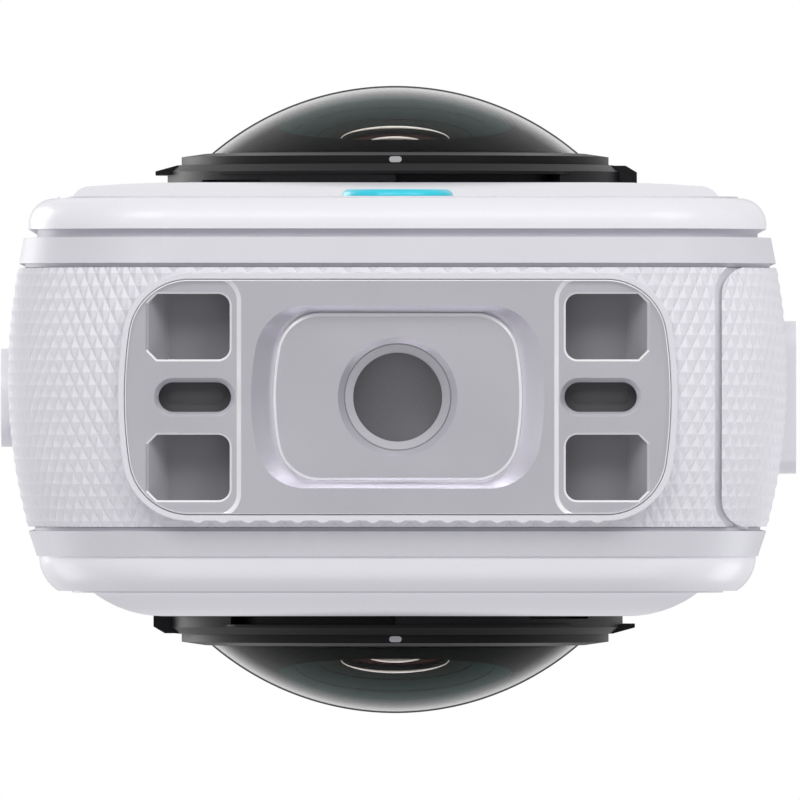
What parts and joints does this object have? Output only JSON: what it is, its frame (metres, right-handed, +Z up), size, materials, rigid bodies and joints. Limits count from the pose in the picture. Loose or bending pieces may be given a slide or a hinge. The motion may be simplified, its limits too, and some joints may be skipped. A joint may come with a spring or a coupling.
{
  "type": "360 degree camera",
  "caption": "Tall hand-held camera with a domed lens on the front and the back, a screen, push buttons, a side battery, a port door and a metal base with a tripod thread.",
  "frame": {"origin": "middle of the bottom plate's face", "axes": "+Z up, -Y to the front with the screen, +X to the battery side"},
  "size_m": [0.046, 0.0382, 0.1245],
  "materials": {
    "grip": "textured, white",
    "frame": "satin grey",
    "shell": "satin white",
    "plate": "bead blasted, satin",
    "nut": "turned",
    "screen": "gloss black",
    "lens_metal": "satin black",
    "dome": "coated",
    "element": "coated",
    "mark": "printed grey",
    "accent": "cyan",
    "inner_plastic": "black",
    "board": "green board",
    "copper": "bare",
    "steel": "plain",
    "seal": "black",
    "light": "clear"
  },
  "bodies": {
    "camera_body": {"mid_frame": "frame", "grip_band": "grip", "front_shell": "shell", "front_panel": "shell", "back_shell": "shell", "back_panel": "shell", "bottom_plate": "plate", "tripod_nut": "nut", "screen_glass": "screen", "display_module": "inner_plastic", "main_board": "board", "board_chips": "inner_plastic", "heat_spreader": "copper", "battery_bay": "inner_plastic", "battery_contacts": "copper", "card_slot": "steel", "usb_board": "board", "usb_port": "steel", "usb_door_pin": "steel", "shutter_board": "board", "side_button_board": "board", "button_switches": "steel", "front_lens_mount": "lens_metal", "front_lens_barrel": "lens_metal", "front_inner_lens": "element", "front_image_sensor": "board", "back_lens_mount": "lens_metal", "back_lens_barrel": "lens_metal", "back_inner_lens": "element", "back_image_sensor": "board", "lens_bracket": "steel", "speaker": "inner_plastic", "microphones": "steel", "mic_meshes": "steel", "status_light": "light", "chassis_screws": "steel"},
    "front_lens": {"front_lens_ring": "lens_metal", "front_lens_bezel": "lens_metal", "front_dome_glass": "dome", "front_lens_mark": "mark", "front_lens_seal": "seal"},
    "back_lens": {"back_lens_ring": "lens_metal", "back_lens_bezel": "lens_metal", "back_dome_glass": "dome", "back_lens_mark": "mark", "back_lens_seal": "seal"},
    "shutter": {"shutter_button": "accent"},
    "power": {"power_button": "shell"},
    "quick": {"quick_button": "shell"},
    "port_door": {"usb_door": "grip", "usb_door_seal": "seal"},
    "battery": {"battery_cover": "grip", "battery_case": "inner_plastic", "battery_seal": "seal"},
    "latch": {"battery_latch": "shell"}
  },
  "joints": [
    {"name": "front_lens_turn", "type": "hinge", "parent": "camera_body", "child": "front_lens", "pos_m": [0, 0, 0.102], "axis": [0, -1, 0], "range_deg": [0, 30]},
    {"name": "back_lens_turn", "type": "hinge", "parent": "camera_body", "child": "back_lens", "pos_m": [0, 0, 0.102], "axis": [0, 1, 0], "range_deg": [0, 30]},
    {"name": "shutter_press", "type": "slide", "parent": "camera_body", "child": "shutter", "axis": [0, 1, 0], "range_m": [0, 0.0004], "stiffness_N_per_m": 800, "springref_m": -0.0005},
    {"name": "power_press", "type": "slide", "parent": "camera_body", "child": "power", "axis": [1, 0, 0], "range_m": [0, 0.0004], "stiffness_N_per_m": 800, "springref_m": -0.0005},
    {"name": "quick_press", "type": "slide", "parent": "camera_body", "child": "quick", "axis": [1, 0, 0], "range_m": [0, 0.0004], "stiffness_N_per_m": 800, "springref_m": -0.0005},
    {"name": "port_door_hinge", "type": "hinge", "parent": "camera_body", "child": "port_door", "pos_m": [-0.02135, -0.0012, 0.052], "axis": [0, -1, 0], "range_deg": [0, 95]},
    {"name": "battery_slide", "type": "slide", "parent": "camera_body", "child": "battery", "axis": [1, 0, 0], "range_m": [0, 0.032]},
    {"name": "latch_slide", "type": "slide", "parent": "battery", "child": "latch", "axis": [0, 0, -1], "range_m": [0, 0.003], "stiffness_N_per_m": 300, "springref_m": -0.001}
  ]
}
